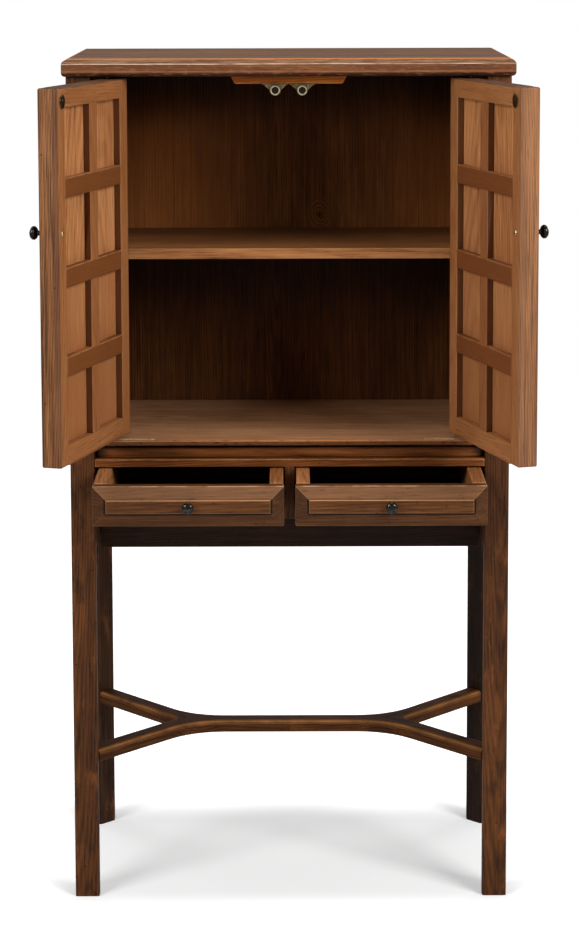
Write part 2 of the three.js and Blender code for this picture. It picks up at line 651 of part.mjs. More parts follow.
for (const [side_name, side] of SIDES) {
  const door = new THREE.Group();
  door.position.set(side * pivot_x, pivot_y, 0);
  door.rotation.z = side * THREE.MathUtils.degToRad(door_open_angle);
  cabinet.add(door);
  const at = (u) => side * (pivot_from_hinge_side - u);
  const slab = (ua, ub, za, zb) => block(at(ua), at(ub), door_face, door_inner, za, zb);
  const channel = (ua, ub, za, zb) => block(at(ua), at(ub), groove_y, groove_end, za, zb);
  const tongue = (ua, ub, za, zb) => block(at(ua), at(ub), ...tongue_y, za, zb);

  // Stiles, grooved for the panel board: one with the sockets of the pivot pins, one with the knob's bore
  const socket = pivot_pin_diameter / 2 + pin_clearance;
  const deep = pivot_pin_reach + overrun;
  const past = [door_bottom - overrun, door_top + overrun];
  const hinge_stile = cut(slab(0, stile_width, door_bottom, door_top), [
    channel(stile_width - groove_depth, stile_width + overrun, ...past),
    rod(socket, past[0], door_bottom + deep),
    rod(socket, door_top - deep, past[1]),
  ]);
  add(door, `hinge_stile_${side_name}`, hinge_stile, honey);
  const knob_u = door_width - knob_from_edge;
  const bore = rod(knob_bolt_diameter / 2 + bore_clearance, -overrun, door_thickness + overrun);
  facingFront(bore).translate(at(knob_u), door_inner, knob_height);
  const meeting_groove = channel(far_stile - overrun, far_stile + groove_depth, ...past);
  const meeting_stile = cut(slab(far_stile, door_width, door_bottom, door_top), [meeting_groove, bore]);
  add(door, `meeting_stile_${side_name}`, meeting_stile, honey);

  // Top and bottom rails, with stub tenons in the grooves of the stiles
  const rail_run = [stile_width + glue_gap, far_stile - glue_gap];
  const tenon_run = [stile_width - tongue_length, far_stile + tongue_length];
  const inset = groove_depth + glue_gap;
  const bottom_groove = channel(0, door_width, light_low - groove_depth, light_low + overrun);
  const bottom_body = cut(slab(...rail_run, door_bottom, light_low), [bottom_groove]);
  const bottom_tenons = tongue(...tenon_run, door_bottom, light_low - inset);
  add(door, `bottom_rail_${side_name}`, join([bottom_body, bottom_tenons]), honey);
  const top_groove = channel(0, door_width, light_high - overrun, light_high + groove_depth);
  const top_body = cut(slab(...rail_run, light_high, door_top), [top_groove]);
  const top_tenons = tongue(...tenon_run, light_high + inset, door_top);
  add(door, `top_rail_${side_name}`, join([top_body, top_tenons]), honey);

  // The panel board, tongued all round, with eight raised fields worked on its outer face
  const board_x = [at(rail_run[0]), at(rail_run[1])].sort((a, b) => a - b);
  const tongue_grow = tongue_length + glue_gap;
  const board = [
    block(...board_x, board_front, board_back, light_low + glue_gap, light_high - glue_gap),
    block(board_x[0] - tongue_grow, board_x[1] + tongue_grow, ...tongue_y,
      light_low - tongue_length, light_high + tongue_length),
  ];
  // Two gratings of a muntin and cross rails, one on each face of the board, flush with the frame
  const muntin_u = [stile_width + panel_width, far_stile - panel_width];
  const grating = (ya, yb) => {
    const muntin_x = [at(muntin_u[0]), at(muntin_u[1])];
    const bars = [block(...muntin_x, ya, yb, light_low + glue_gap, light_high - glue_gap)];
    for (let row = 1; row < panel_rows; row += 1) {
      const low = light_low + row * (panel_height + door_rail_height) - door_rail_height;
      bars.push(block(...board_x, ya, yb, low, low + door_rail_height));
    }
    return join(bars);
  };
  for (let row = 0; row < panel_rows; row += 1) {
    const low = light_low + row * (panel_height + door_rail_height);
    for (const start of [stile_width, muntin_u[1]]) {
      const ends = [at(start), at(start + panel_width)].sort((a, b) => a - b);
      const ring = (inwards, y) =>
        [ends[0] + inwards, ends[1] - inwards, low + inwards, low + panel_height - inwards, y];
      board.push(facedBoard([
        ring(panel_bevel_width, door_face + panel_field_recess),
        ring(glue_gap, board_front),
        ring(glue_gap, board_front + overrun),
      ]));
    }
  }
  add(door, `door_panel_${side_name}`, join(board), honey);
  add(door, `outer_grating_${side_name}`, grating(door_face, board_front - glue_gap), honey);
  add(door, `inner_grating_${side_name}`, grating(board_back + glue_gap, door_inner), honey);

  // Strike for the catch, and the knob with its bolt
  const strike_r = strike_diameter / 2;
  const stud_r = strike_stud_diameter / 2;
  const strike = facingBack(turned([
    [0, glue_gap], [strike_r, glue_gap], [strike_r, strike_thickness / 2],
    [strike_r - strike_thickness / 2, strike_thickness], [stud_r, strike_thickness],
    [stud_r / 2, strike_stud_height], [0, strike_stud_height],
  ]));
  strike.translate(-side * (pivot_x - catch_spacing), door_inner, cup_height);
  add(door, `strike_${side_name}`, strike, brass);
  const pull = facingFront(knob(knob_diameter, knob_length, door_thickness));
  add(door, `door_knob_${side_name}`, pull.translate(at(knob_u), door_face, knob_height), dark_metal);
}

// Drawers
const front_bottom = deck_top + drawer_front_bottom_gap;
const front_top = rail_bottom - drawer_front_top_gap;
const knob_z = (front_bottom + front_top) / 2;
const drawer_length = back_face - face_setback - drawer_back_gap;

for (const [side_name, side] of SIDES) {
  const drawer = new THREE.Group();
  drawer.position.set(side * drawer_centre, face_setback - drawer_pull, 0);
  cabinet.add(drawer);
  const box_z = [deck_top + slide_clearance, rail_bottom - drawer_side_top_gap];
  const box_inner = box_half - drawer_side_thickness;
  const bottom_z = [box_z[0] + drawer_bottom_lift, box_z[0] + drawer_bottom_lift + drawer_bottom_thickness];
  const groove_z = [bottom_z[0] - glue_gap, bottom_z[1] + glue_gap];

  const base = drawer_bevel_drop + drawer_field_step;
  const ring = (inset, y) =>
    [-front_half + inset, front_half - inset, front_bottom + inset, front_top - inset, y];
  const bevelled = facedBoard([
    ring(drawer_field_inset, 0), ring(drawer_field_inset, drawer_field_step),
    ring(0, base), ring(0, drawer_front_thickness),
  ]);
  const corner = drawer_corner_radius;
  const rounded = new THREE.Shape();
  rounded.absarc(front_half - corner, front_top - corner, corner, 0, Math.PI / 2, false);
  rounded.absarc(corner - front_half, front_top - corner, corner, Math.PI / 2, Math.PI, false);
  rounded.absarc(corner - front_half, front_bottom + corner, corner, Math.PI, Math.PI * 1.5, false);
  rounded.absarc(front_half - corner, front_bottom + corner, corner, Math.PI * 1.5, Math.PI * 2, false);
  const blank = facingFront(upright(rounded, 0, drawer_front_thickness + overrun));
  blank.translate(0, drawer_front_thickness, 0);
  const face = toGeometry(toSolid(bevelled).intersect(toSolid(blank)));
  const bore = rod(knob_bolt_diameter / 2 + bore_clearance, -drawer_front_thickness - overrun, overrun);
  facingFront(bore).translate(0, 0, knob_z);
  const groove_start = drawer_front_thickness - drawer_groove_depth;
  const front_run = [groove_start, drawer_front_thickness + overrun];
  const front_groove = centredBlock(box_inner + drawer_groove_depth, ...front_run, ...groove_z);
  add(drawer, `drawer_front_${side_name}`, cut(face, [bore, front_groove]), walnut);

  const side_y = [drawer_front_thickness + glue_gap, drawer_length];
  for (const [wall_name, wall] of SIDES) {
    const board = block(wall * box_half, wall * box_inner, ...side_y, ...box_z);
    const groove = block(wall * (box_inner - overrun), wall * (box_inner + drawer_groove_depth),
      side_y[0] - overrun, side_y[1] + overrun, ...groove_z);
    add(drawer, `${side_name}_drawer_${wall_name}_side`, cut(board, [groove]), honey);
  }
  const back_y = [drawer_length - drawer_back_thickness, drawer_length];
  const back_z = [bottom_z[1] + glue_gap, box_z[1] - drawer_back_drop];
  const back = centredBlock(box_inner - glue_gap, ...back_y, ...back_z);
  add(drawer, `drawer_back_${side_name}`, back, honey);
  const bottom_half = box_inner + drawer_groove_depth - glue_gap;
  const bottom = centredBlock(bottom_half, groove_start + glue_gap, drawer_length, ...bottom_z);
  add(drawer, `drawer_bottom_${side_name}`, bottom, honey);
  const pull = facingFront(knob(drawer_knob_diameter, drawer_knob_length, drawer_front_thickness));
  add(drawer, `drawer_knob_${side_name}`, pull.translate(0, 0, knob_z), dark_metal);
}

// The pull-out shelf, stowed on the rail and the dust board
{
  const half = inner_half - slide_side_gap;
  const y = [slide_setback, back_face - slide_back_gap];
  add(cabinet, 'pull_out_shelf', centredBlock(half, ...y, slide_bottom, slide_top), walnut);
}

// The whole stands on z = 0, centred between the open doors' free edges and the back
const angle = THREE.MathUtils.degToRad(door_open_angle);
const free_reach = door_width - pivot_from_hinge_side;
const foremost = pivot_y - Math.sin(angle) * free_reach + Math.cos(angle) * door_inner;
cabinet.position.y = -(foremost + overall_depth + top_back_overhang) / 2;

export default cabinet;
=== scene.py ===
# The bar cabinet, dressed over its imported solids: a tall stained case on square legs, with two framed doors,
# a pull-out shelf and two drawers. Metres, +Z up, front at -Y, doors open and drawers part way out.
import math
from collections import namedtuple

import bmesh
import bpy
from mathutils import Matrix, Vector


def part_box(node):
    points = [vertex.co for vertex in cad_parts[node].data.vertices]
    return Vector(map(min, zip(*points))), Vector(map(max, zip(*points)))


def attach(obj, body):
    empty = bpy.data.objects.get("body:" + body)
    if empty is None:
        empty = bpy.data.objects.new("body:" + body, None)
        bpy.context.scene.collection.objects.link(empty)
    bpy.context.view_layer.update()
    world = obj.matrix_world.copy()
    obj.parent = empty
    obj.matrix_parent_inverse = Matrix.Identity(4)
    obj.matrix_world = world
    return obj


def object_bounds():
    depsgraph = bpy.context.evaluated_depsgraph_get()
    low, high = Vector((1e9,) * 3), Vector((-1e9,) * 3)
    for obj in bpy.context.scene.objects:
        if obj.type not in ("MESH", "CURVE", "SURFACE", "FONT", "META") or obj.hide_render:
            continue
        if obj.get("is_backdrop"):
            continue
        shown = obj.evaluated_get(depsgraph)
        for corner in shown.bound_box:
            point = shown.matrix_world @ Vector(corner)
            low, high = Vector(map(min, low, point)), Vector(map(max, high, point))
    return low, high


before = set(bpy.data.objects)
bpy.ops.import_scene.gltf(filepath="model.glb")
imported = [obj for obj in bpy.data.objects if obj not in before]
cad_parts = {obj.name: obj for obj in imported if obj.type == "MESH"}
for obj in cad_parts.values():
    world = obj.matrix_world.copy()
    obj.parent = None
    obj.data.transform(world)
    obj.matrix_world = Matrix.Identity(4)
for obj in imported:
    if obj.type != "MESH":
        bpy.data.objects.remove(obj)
cad_low, cad_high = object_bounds()

# Camera. It stands a little above the top of the cabinet and looks slightly down, with the lens dropped,
# so that the posts stay nearly upright in the picture, as in a furniture photograph.
post_front_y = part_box("front_left_post")[0].y
camera_distance = 4.8996
camera_height = 1.8256
camera_aside = 0.0004
camera_tilt = 0.1206
camera_roll = 0.0026
picture_height = 950
focal_pixels = 2634.8
lens_row = 262
lens_aside = -0.0004
sensor_width = 36
view_depth = 60
camera_data = bpy.data.cameras.new("camera")
camera_data.sensor_width = sensor_width
camera_data.lens = focal_pixels / picture_height * sensor_width
camera_data.shift_x = lens_aside
camera_data.shift_y = (lens_row - picture_height / 2) / picture_height
camera_data.clip_end = view_depth
camera = bpy.data.objects.new("camera", camera_data)
camera.location = (camera_aside, post_front_y - camera_distance, camera_height)
look = Matrix.Rotation(math.pi / 2 - camera_tilt, 4, "X") @ Matrix.Rotation(-camera_roll, 4, "Z")
camera.rotation_euler = look.to_euler()
bpy.context.collection.objects.link(camera)
bpy.context.scene.camera = camera


# Posts. Four square oak posts, stained dark brown and rubbed back on the arrises, run from the floor to the
# underside of the top; the leg's inner corner is planed off. Glaze sits in the pores and in small dents.
class Value:
    """A number that varies over a surface; Python's signs add Math nodes to its material."""

    def __init__(self, recipe, socket):
        self.recipe = recipe
        self.socket = socket

    def math(self, operation, *others):
        inputs = dict(enumerate((self, *others)))
        node = self.recipe.node("ShaderNodeMath", {"operation": operation}, inputs)
        return Value(self.recipe, node.outputs[0])

    def __add__(self, other):
        return self.math("ADD", other)

    __radd__ = __add__

    def __mul__(self, other):
        return self.math("MULTIPLY", other)

    __rmul__ = __mul__

    def __sub__(self, other):
        return self.math("SUBTRACT", other)

    def __rsub__(self, other):
        return (self * -1) + other

    def __truediv__(self, other):
        return self.math("DIVIDE", other)

    def __gt__(self, other):
        return self.math("GREATER_THAN", other)

    def __lt__(self, other):
        return self.math("LESS_THAN", other)

    def __abs__(self):
        return self.math("ABSOLUTE")

    def between(self, low, high):
        """0 below low, 1 above high and smooth between them."""
        node = self.recipe.node("ShaderNodeMapRange", {"interpolation_type": "SMOOTHSTEP"},
                                {0: self, 1: low, 2: high})
        return Value(self.recipe, node.outputs[0])

    def near(self, middle, reach):
        """1 within reach of the middle and 0 elsewhere."""
        return self.math("COMPARE", middle, reach)


class Recipe:
    """The nodes that make one material, or the world."""

    def __init__(self, owner):
        self.owner = owner
        owner.use_nodes = True
        self.tree = owner.node_tree
        self.tree.nodes.clear()

    def node(self, kind, settings=None, inputs=None):
        node = self.tree.nodes.new(kind)
        for key, value in (settings or {}).items():
            if key == "stops":
                elements = node.color_ramp.elements
                for element in list(elements)[1:]:
                    elements.remove(element)
                for index, (place, colour) in enumerate(value):
                    element = elements[0] if index == 0 else elements.new(place)
                    element.position = place
                    element.color = colour
            else:
                setattr(node, key, value)
        for key, value in (inputs or {}).items():
            socket = node.inputs[key]
            if isinstance(value, Value):
                value = value.socket
            if isinstance(value, bpy.types.NodeSocket):
                self.tree.links.new(value, socket)
            else:
                socket.default_value = value
        return node

    def mix(self, factor, first, second):
        node = self.node("ShaderNodeMix", {"data_type": "RGBA"}, {0: factor, 6: first, 7: second})
        return node.outputs[2]

    def vector(self, operation, first, second):
        return self.node("ShaderNodeVectorMath", {"operation": operation}, {0: first, 1: second}).outputs[0]

    def joined(self, x, y, z):
        return self.node("ShaderNodeCombineXYZ", None, {0: x, 1: y, 2: z}).outputs[0]

    def noise(self, vector, scale, detail=2, roughness=0.5):
        node = self.node("ShaderNodeTexNoise", {"noise_dimensions": "3D"},
                         {"Vector": self.vector("MULTIPLY", vector, scale), "Scale": 1, "Detail": detail,
                          "Roughness": roughness})
        return Value(self, node.outputs[0])

    def parts(self, vector):
        node = self.node("ShaderNodeSeparateXYZ", None, {0: vector})
        return [Value(self, out) for out in node.outputs]

    def place(self):
        return self.node("ShaderNodeTexCoord").outputs["Object"]

    def facet(self):
        """The direction that the bare surface faces, as x, y and z."""
        return self.parts(self.node("ShaderNodeNewGeometry").outputs["True Normal"])

    def finish(self, shader, kind="ShaderNodeOutputMaterial"):
        self.node(kind, None, {0: shader})
        return self.owner


def material_recipe(name):
    return Recipe(bpy.data.materials.new(name))


def length_of(first, second):
    return (first * first + second * second).math("SQRT")


def srgb(red, green, blue):
    """A colour as it is read off a screen, 0 to 255, as the shader's linear one."""
    def linear(value):
        value /= 255
        return value / 12.92 if value <= 0.04045 else ((value + 0.055) / 1.055) ** 2.4
    return (linear(red), linear(green), linear(blue), 1)


Tones = namedtuple("Tones", "glaze dark middle light worn")


def toned(*colours):
    return Tones(*(srgb(*colour) for colour in colours))


def log_of(recipe, place, centre, grain):
    """The place measured from the middle of the board, with the grain turned to Z."""
    x, y, z = recipe.parts(recipe.vector("ADD", place, [-value for value in centre]))
    return recipe.joined(*{"X": (y, z, x), "Y": (z, x, y), "Z": (x, y, z)}[grain])


rings_per_metre = 200
heart_depth = 0.035
heart_sway = 0.03
heart_dip = 0.06
ring_wander = 0.006
log_spread = 3
dents_per_metre = 48
arris_reach = 0.0032
grain_relief = 0.0004


def stained_wood(recipe, log, seed, tones, wear=0.6, figure=0.18, streaks=0.22, pits=1.0, gloss=0.46,
                 worn_width=1.0):
    """Stained oak in the given tones. Noise scales count per metre: twice across the grain, then along it."""
    x, y, z = recipe.parts(log)
    far = recipe.vector("ADD", log, [math.sin(seed * turn) * log_spread for turn in (12.9, 78.2, 37.7)])
    drift = recipe.noise(far, (7, 7, 1.1), 2)
    cloud = recipe.noise(far, (12, 12, 2.6), 3, 0.55)
    mottle = recipe.noise(far, (70, 70, 12), 3, 0.6)
    # Growth rings of a log whose heart lies below the board and dips along it, so they rise in tall arches
    heart_x = math.sin(seed * 5.1) * heart_sway
    heart_y = heart_depth + 0.02 * math.sin(seed * 3.3)
    across = x - heart_x + (drift - 0.5) * heart_sway
    below = y + z * heart_dip * math.copysign(1, math.sin(seed * 9.7)) + heart_y
    radius = length_of(across, below) + (cloud - 0.5) * ring_wander
    ring = (radius * (rings_per_metre * math.tau)).math("SINE").between(-0.7, 1.0)
    fibre = recipe.noise(far, (380, 380, 7), 4, 0.7)
    streak = recipe.noise(far, (120, 120, 2.0), 3, 0.65).between(0.34, 0.66)
    line = recipe.noise(far, (340, 340, 4.5), 3, 0.55).between(0.54, 0.66)
    pore = (recipe.noise(far, (450, 450, 22), 2, 0.5) * (ring * 0.2 + 0.9)).between(0.58, 0.68)
    tone = ((cloud - 0.5) * 0.9 + (mottle - 0.5) * 0.7 + (0.5 - ring) * figure + (streak - 0.5) * streaks
            + (fibre - 0.5) * 1.15 + 0.5)
    ramp = recipe.node("ShaderNodeValToRGB",
                       {"stops": [(0.1, tones.dark), (0.5, tones.middle), (0.9, tones.light)]}, {0: tone})
    glazed = (line * streaks * 1.3 + pore * 0.35).math("MINIMUM", 0.7)
    colour = recipe.mix(glazed, ramp.outputs[0], tones.glaze)
    # Small dents and worm holes, filled with glaze
    dots = recipe.node("ShaderNodeTexVoronoi", {"feature": "F1"}, {"Vector": far, "Scale": dents_per_metre})
    chance = recipe.parts(dots.outputs["Color"])[0]
    hole = (1 - Value(recipe, dots.outputs["Distance"]).between(0.04, 0.1)) * (chance > 0.35) * pits
    # Arrises rubbed through to the paler wood, in an uneven line
    reach = arris_reach * worn_width
    rounded = recipe.node("ShaderNodeBevel", {"samples": 6}, {"Radius": reach}).outputs[0]
    true_normal = recipe.node("ShaderNodeNewGeometry").outputs["True Normal"]
    facing = recipe.node("ShaderNodeVectorMath", {"operation": "DOT_PRODUCT"}, {0: rounded, 1: true_normal})
    arris = 1 - Value(recipe, facing.outputs["Value"])
    uneven = recipe.noise(far, (50, 50, 22), 3, 0.6)
    rubbed = (arris * 5 + uneven * 1.3 - 0.85).between(0.0, 0.5) * (arris > 0.004) * wear
    colour = recipe.mix(rubbed, colour, tones.worn)
    colour = recipe.mix(hole * 0.85, colour, tones.glaze)
    height = fibre * 0.35 - line * 0.4 - ring * 0.15 - pore * 0.8 - hole * 2.5
    bump = recipe.node("ShaderNodeBump", None,
                       {"Strength": 0.3, "Distance": grain_relief, "Height": height, "Normal": rounded})
    roughness = (fibre * 0.12 + hole * 0.3 + pore * 0.15 + gloss).math("MINIMUM", 0.95)
    return colour, roughness, bump.outputs[0]


def wooden(recipe, colour, roughness, normal, shine=0.12):
    shader = recipe.node("ShaderNodeBsdfPrincipled", None,
                         {"Base Color": colour, "Roughness": roughness, "Normal": normal,
                          "Specular IOR Level": shine})
    return recipe.finish(shader.outputs[0])


weld_reach = 0.00002
sharp_angle = math.radians(28)


def eased(node, width, segments=2):
    """The arrises of a sawn board, taken off with sandpaper."""
    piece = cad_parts[node]
    weld = piece.modifiers.new("weld", "WELD")
    weld.merge_threshold = weld_reach
    bevel = piece.modifiers.new("eased", "BEVEL")
    bevel.width = width
    bevel.segments = segments
    bevel.limit_method = "ANGLE"
    bevel.angle_limit = sharp_angle
    bevel.use_clamp_overlap = True


def dress(node, material):
    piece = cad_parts[node]
    if not piece.data.materials:
        piece.data.materials.append(material)
    for slot in piece.material_slots:
        slot.material = material


def middle_of(node):
    low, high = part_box(node)
    return (low + high) / 2


seeds = iter(range(1, 400))


def board(node, grain, tones, ease=0.0014, extra=None, **looks):
    """Dresses one board: extra paints what is its own over the stained wood."""
    recipe = material_recipe(node)
    place = recipe.place()
    log = log_of(recipe, place, middle_of(node), grain)
    colour, roughness, normal = stained_wood(recipe, log, next(seeds), tones, **looks)
    if extra:
        colour = extra(recipe, place, colour)
    dress(node, wooden(recipe, colour, roughness, normal))
    if ease:
        eased(node, ease)


walnut = toned((15, 8, 4), (44, 24, 10), (71, 40, 18), (100, 59, 27), (150, 96, 52))
# A darker copy of the walnut for the rear posts, as painted shade.
shaded_walnut = toned((8, 4, 2), (32, 17, 7), (54, 31, 14), (76, 45, 21), (118, 74, 38))
red_patch = srgb(138, 80, 40)
rear_post_shade = {"left": 0.0, "right": 0.7}


def patched(recipe, place, colour):
    """Clouds of thick stain, and between them spots where the wood shows redder."""
    patch = recipe.noise(place, (30, 30, 11), 4, 0.65)
    colour = recipe.mix(patch.between(0.53, 0.7) * 0.55, colour, walnut.glaze)
    return recipe.mix((1 - patch.between(0.3, 0.45)) * 0.4, colour, red_patch)


def shaded(share):
    """The same, darkened further with painted shade on the leg that stands in the shade."""
    def extra(recipe, place, colour):
        return recipe.mix(share, patched(recipe, place, colour), shaded_walnut.glaze)
    return extra


# The rear posts take the darker walnut, and the right one is darkened further: both are painted shade.
for side in ("left", "right"):
    board(f"front_{side}_post", "Z", walnut, ease=0, extra=patched, streaks=0.14, pits=1.3)
    board(f"rear_{side}_post", "Z", shaded_walnut, ease=0, extra=shaded(rear_post_shade[side]))

# Sides and back. Framed into the posts: stained boards outside, and a back of upright boards that was
# left with a thin stain, so it is warmer and duller than the front. One of its boards has a knot.
# The inner face of the back carries painted shade up high and under the shelf, and painted pools of light
# above the shelf.
back_wood = toned((20, 10, 4), (70, 38, 15), (97, 55, 22), (128, 76, 35), (150, 92, 46))
back_low, back_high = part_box("back_panel")
inner_shelf_low, inner_shelf_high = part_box("inner_shelf")
knot_x = 0.062
knot_z = back_high.z - 0.304
knot_squash = 0.8
knot_stray = 0.014
knot_radians_per_metre = 1100
light_pool_middle_x = back_low.x * -0.12
inner_skin = 0.001
compartment_shade_dark = srgb(12, 5, 2)
light_pool_brown = srgb(172, 100, 44)
knot_brown = srgb(128, 72, 30)
knot_ring = srgb(40, 19, 7)
knot_heart = srgb(24, 12, 6)


def knotted(recipe, place, colour):
    """A ringed knot right of the middle; on the inner face also painted shade up high and under the shelf, and
    painted light either side of the middle above the shelf.
    """
    x, y, z = recipe.parts(place)
    stray = recipe.noise(place, (30, 30, 30), 2) - 0.5
    radius = length_of(x - knot_x, (z - knot_z) * knot_squash) + stray * knot_stray
    heart = 1 - radius.between(0.003, 0.008)
    halo = 1 - radius.between(0.016, 0.034)
    ring = (radius * knot_radians_per_metre).math("SINE").between(0.1, 0.9)
    below_top = back_high.z - z
    below_shelf = inner_shelf_low.z - z
    # Painted shade under the top and under the shelf, on the inner face only.
    painted_compartment_shade = 1 - below_top.between(0.0, 0.17)
    painted_compartment_shade = painted_compartment_shade.math("MAXIMUM", (z < inner_shelf_low.z) * (1 - below_shelf.between(0.02, 0.24) * 0.65))
    within = y < back_low.y + inner_skin
    colour = recipe.mix(painted_compartment_shade * within * 0.82, colour, compartment_shade_dark)
    # Painted pools of light either side of the middle, above the shelf, fading towards the top.
    log_shift_and_light_pool = abs(x - light_pool_middle_x).between(0.04, 0.3) * (z > inner_shelf_high.z)
    colour = recipe.mix(log_shift_and_light_pool * below_top.between(0.04, 0.15) * within * 0.34, colour, light_pool_brown)
    colour = recipe.mix(halo * 0.5, colour, knot_brown)
    colour = recipe.mix(halo * ring * 0.7, colour, knot_ring)
    return recipe.mix(heart * 0.7, colour, knot_heart)


for side in ("left", "right"):
    board(f"side_panel_{side}", "Z", walnut)
board("back_panel", "Z", back_wood, ease=0.0006, extra=knotted, wear=0.15, pits=0.2, gloss=0.6)

# Top. One board that lies on the posts, with a thumbnail moulding on the front and both ends, stained and
# waxed. A painted highlight runs along the hollow of the moulding with painted sheen above it, painted
# shade darkens its lower round, and hands have rubbed its arrises.
top_tones = toned((28, 16, 9), (74, 47, 28), (99, 66, 41), (124, 86, 54), (206, 150, 104))
top_low, top_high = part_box("top_board")
moulding_width = 0.012
upper_arris_drop = 0.0008
hollow_drop = 0.0098
lower_arris_drop = 0.0238
nose_brown = srgb(112, 66, 40)
arris_orange = srgb(170, 96, 50)
painted_sheen_pale = srgb(196, 160, 130)
strand_dark = srgb(84, 46, 26)
fleck_light = srgb(154, 103, 74)
fleck_dark = srgb(66, 36, 20)
highlight_white = srgb(226, 196, 168)
rubbed_orange = srgb(198, 126, 76)


def nosed(recipe, place, colour):
    """The moulding: its rubbed upper arris, painted sheen and a painted highlight line in its hollow, painted
    shade on its lower round and redder wood on the nose.
    """
    x, y, z = recipe.parts(place)
    drop = top_high.z - z
    flat = (y > top_low.y + moulding_width) * (abs(x) < top_high.x - moulding_width)
    edge = 1 - flat
    strand = recipe.noise(place, (14, 14, 900), 3, 0.6)
    waver = (recipe.noise(place, (9, 9, 9), 2) - 0.5) * 0.002
    fleck = recipe.noise(place, (60, 60, 260), 3, 0.7)
    pale = recipe.noise(place, (11, 11, 11), 3, 0.7).between(0.36, 0.62)
    colour = recipe.mix(edge * drop.between(0.004, 0.012) * 0.4, colour, nose_brown)
    lower_arris = edge * drop.near(lower_arris_drop, 0.0012) * strand.between(0.3, 0.5)
    colour = recipe.mix(lower_arris * 0.5, colour, arris_orange)
    # Painted shade on the lower round of the nose, which faces down.
    colour = recipe.mix(edge * drop.between(0.0252, 0.0276) * 0.9, colour, top_tones.glaze)
    # Painted sheen in pale streaks over the upper round.
    sheen_band = edge * drop.between(upper_arris_drop, 0.002) * (1 - drop.between(0.0085, 0.0105))
    colour = recipe.mix(sheen_band * strand.between(0.48, 0.62) * 0.28, colour, painted_sheen_pale)
    colour = recipe.mix(edge * (1 - strand.between(0.36, 0.52)) * 0.5, colour, strand_dark)
    colour = recipe.mix(edge * fleck.between(0.5, 0.72) * 0.38, colour, fleck_light)
    colour = recipe.mix(edge * (1 - fleck.between(0.3, 0.43)) * 0.45, colour, fleck_dark)
    # A painted highlight line where the round ends.
    highlight_line = edge * (drop + waver).near(hollow_drop, 0.0008) * (pale * 0.6 + 0.15)
    colour = recipe.mix(highlight_line, colour, highlight_white)
    return recipe.mix(edge * drop.near(upper_arris_drop, 0.0009) * 0.65, colour, rubbed_orange)


board("top_board", "X", top_tones, extra=nosed, wear=0.6, gloss=0.45)

# Cabinet floor and inner shelf. Oak boards with their ends housed in the sides, paler and less glazed than
# the outside. The floor's front arris is worn, and the shelf is darker at the back.
shelf_tones = toned((44, 22, 10), (136, 86, 47), (167, 110, 65), (192, 133, 82), (228, 170, 114))
floor_tones = toned((40, 22, 12), (140, 98, 66), (176, 126, 88), (200, 150, 108), (214, 156, 102))
floor_low, floor_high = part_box("cabinet_floor")
edge_skin = 0.0012
arris_half = 0.0016
edge_brown = srgb(84, 43, 15)
chip_dark = srgb(30, 14, 5)
arris_light = srgb(196, 128, 78)
shelf_shade = srgb(66, 36, 17)


def darker_front_edge(recipe, place, colour):
    """The floor's front edge, made darker than its top, with small dark chips and a pale worn arris."""
    _, y, z = recipe.parts(place)
    front = y < floor_low.y + edge_skin
    chips = recipe.noise(place, (70, 70, 200), 4, 0.7)
    colour = recipe.mix(front * 0.85, colour, edge_brown)
    colour = recipe.mix(front * chips.between(0.56, 0.62) * 0.7, colour, chip_dark)
    arris = (z - y).near(floor_high.z - floor_low.y - arris_half, arris_half)
    return recipe.mix(arris * chips.between(0.3, 0.5) * 0.7, colour, arris_light)


def shaded_back_half(recipe, place, colour):
    """The shelf's back half, darkened with painted shade."""
    y = recipe.parts(place)[1]
    deep = y.between(inner_shelf_low.y + 0.05, inner_shelf_high.y - 0.06)
    return recipe.mix(deep * 0.75, colour, shelf_shade)


board("cabinet_floor", "X", floor_tones, ease=0.002, extra=darker_front_edge, wear=0.9)
board("inner_shelf", "X", shelf_tones, extra=shaded_back_half, pits=0.2)

# Drawer rail, dust board, divider, guide and deck, and the two aprons below them. The rail is amber under
# its polish, the divider and the deck are stained like the case, and what lies further in is painted nearly
# black, as painted shade.
unlit_tones = toned((10, 5, 2), (26, 13, 5), (40, 21, 8), (56, 31, 13), (84, 50, 26))
amber = toned((22, 11, 4), (74, 40, 15), (106, 58, 24), (136, 79, 36), (204, 144, 88))
board("drawer_rail", "X", amber, wear=1.0, worn_width=1.4)
board("drawer_divider", "Z", walnut)
board("drawer_deck", "X", walnut)
board("dust_board", "X", unlit_tones, ease=0)
board("drawer_guide", "Y", unlit_tones, ease=0)
for end in ("front", "rear"):
    board(f"{end}_apron", "X", unlit_tones)

# Stretcher. A bar with a fork of two arms at each end, scarfed, shaped as one and let into the chamfers of
# the legs. The round along its upper edges is rubbed to honey brown; its top, in the shade of the case, is
# darkened with painted shade.
arm_lean = math.radians(47.6)
fork_x = 0.192
sweep_start = 0.13
sweep_end = 0.24
scarf_reach = 0.009
sides_apart = 2.0
rubbed_honey = srgb(168, 112, 64)
scarf_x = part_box("stretcher_bar")[1].x
recipe = material_recipe("stretcher")
place = recipe.place()
x, y, z = recipe.parts(recipe.vector("ADD", place, [-value for value in middle_of("stretcher_bar")]))
out = abs(x)
aside = abs(y)
arm_along = (out - fork_x) * math.cos(arm_lean) + aside * math.sin(arm_lean) + fork_x
arm_across = aside * math.cos(arm_lean) - (out - fork_x) * math.sin(arm_lean)
side_shift = (x > 0) * sides_apart
bar_log = recipe.joined(aside, z, out + side_shift)
arm_log = recipe.joined(arm_across, z, arm_along + side_shift)
log = recipe.mix(out.between(sweep_start, sweep_end), bar_log, arm_log)
colour, roughness, normal = stained_wood(recipe, log, next(seeds), walnut, wear=0, worn_width=2.0)
flat_normal = recipe.node("ShaderNodeNewGeometry").outputs["Normal"]
